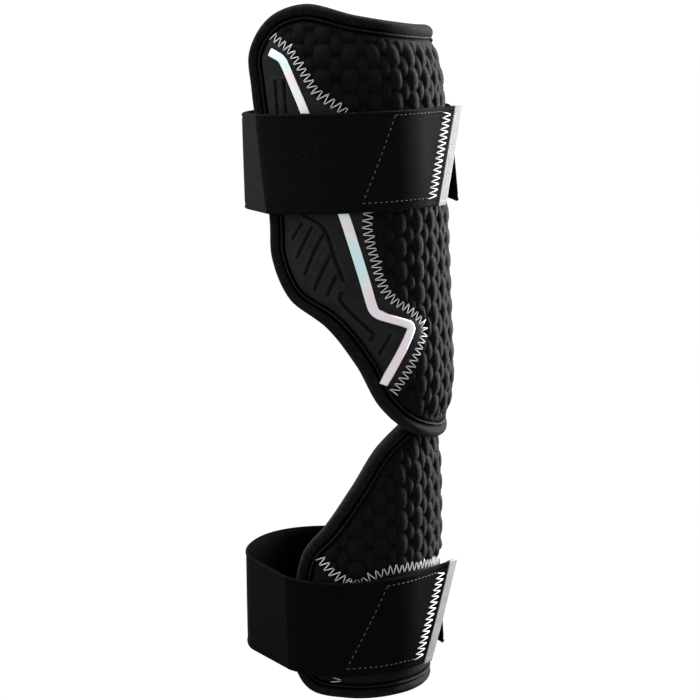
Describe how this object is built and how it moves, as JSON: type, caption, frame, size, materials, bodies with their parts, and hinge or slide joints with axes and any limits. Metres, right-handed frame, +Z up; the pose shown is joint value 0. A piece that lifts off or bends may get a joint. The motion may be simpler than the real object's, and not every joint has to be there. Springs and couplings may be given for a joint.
{
  "type": "batter's elbow guard",
  "caption": "Black padded elbow guard for a batter: quilted upper arm pad with bound edges and silvery side stripes, forearm pad tucked behind its tip, and an elastic strap round each.",
  "frame": {"origin": "on the arm's axis at the elbow, level with the upper pad's lower tip", "axes": "+Z up the arm towards the shoulder, -Y towards the guarded outside of the arm, -X the wearer's side shown in the picture"},
  "size_m": [0.115, 0.0954, 0.3008],
  "materials": {
    "padding": "soft knit lining over foam, matte black",
    "quilted_cloth": "quilted stretch cloth, matte black",
    "side_cloth": "smooth moulded cloth, matte black",
    "accent_film": "silvery reflective film",
    "binding_tape": "ribbed edge tape, matte black",
    "strap_elastic": "woven elastic, matte black",
    "tab_tape": "plain light grey woven tape",
    "stitch_thread": "white sewing thread"
  },
  "bodies": {
    "root": {"upper_pad_core": "padding", "upper_quilted_panel": "quilted_cloth", "upper_side_panel_left": "side_cloth", "upper_side_panel_right": "side_cloth", "upper_accent_left": "accent_film", "upper_accent_right": "accent_film", "upper_edge_binding": "binding_tape", "upper_strap": "strap_elastic", "upper_pull_tab": "tab_tape", "lower_pad_core": "padding", "lower_quilted_panel": "quilted_cloth", "lower_cuff_panel": "side_cloth", "lower_edge_binding": "binding_tape", "lower_strap": "strap_elastic", "lower_pull_tab": "tab_tape"}
  },
  "joints": []
}
